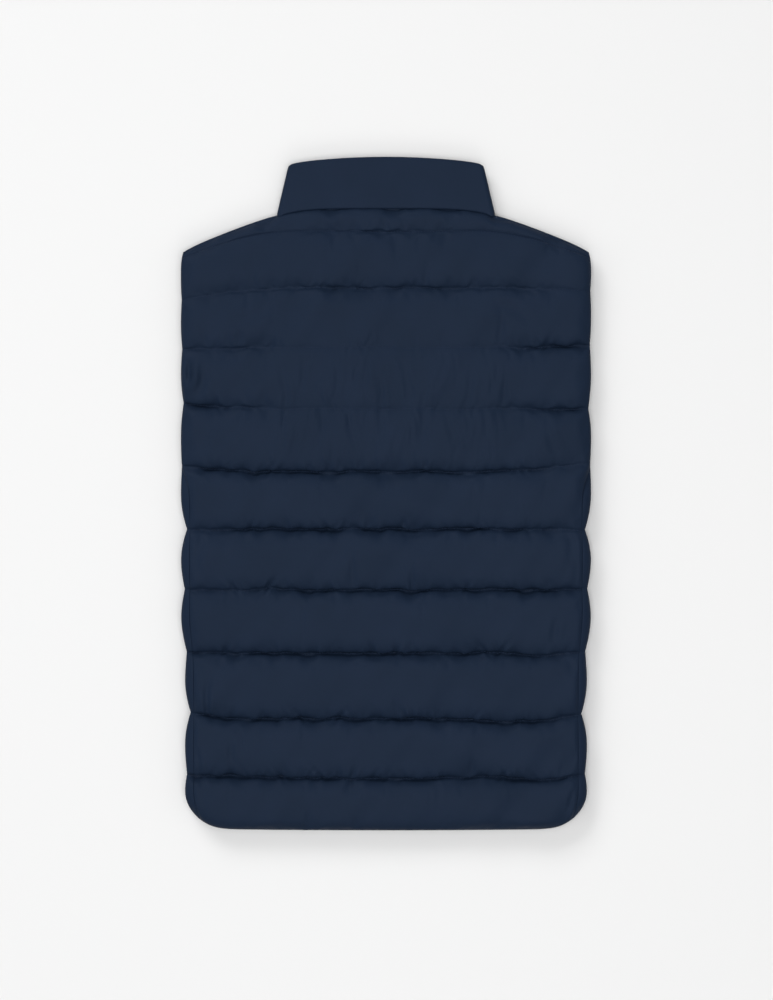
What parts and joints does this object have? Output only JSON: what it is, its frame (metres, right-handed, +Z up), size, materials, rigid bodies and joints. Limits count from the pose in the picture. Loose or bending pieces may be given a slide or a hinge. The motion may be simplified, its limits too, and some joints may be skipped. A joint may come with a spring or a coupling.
{
  "type": "quilted vest",
  "caption": "Quilted vest with a stand collar and a front zip, laid flat on its front with its back up: padded channels run across the back and fronts.",
  "frame": {"origin": "on the surface that the vest lies on, under the middle of its outline", "axes": "+X across the vest to the wearer's right, +Y from the hem to the collar, +Z up out of its back"},
  "size_m": [0.453, 0.742, 0.0308],
  "materials": {
    "shell_cloth": "matt woven polyamide",
    "zip_tape": "matt woven tape",
    "zip_teeth": "satin moulded",
    "zip_metal": "satin paint"
  },
  "bodies": {
    "vest": {"back_panel": "shell_cloth", "front_left": "shell_cloth", "front_right": "shell_cloth", "collar": "shell_cloth", "zip_tape_left": "zip_tape", "zip_tape_right": "zip_tape", "zip_teeth_left": "zip_teeth", "zip_teeth_right": "zip_teeth", "zip_box": "zip_teeth", "zip_slider": "zip_metal"},
    "pull": {"zip_pull": "zip_metal"}
  },
  "joints": [
    {"name": "pull_hinge", "type": "hinge", "parent": "vest", "child": "pull", "pos_m": [0, 0.2896, 0.0066], "axis": [1, 0, 0], "range_deg": [-13, 165]}
  ]
}
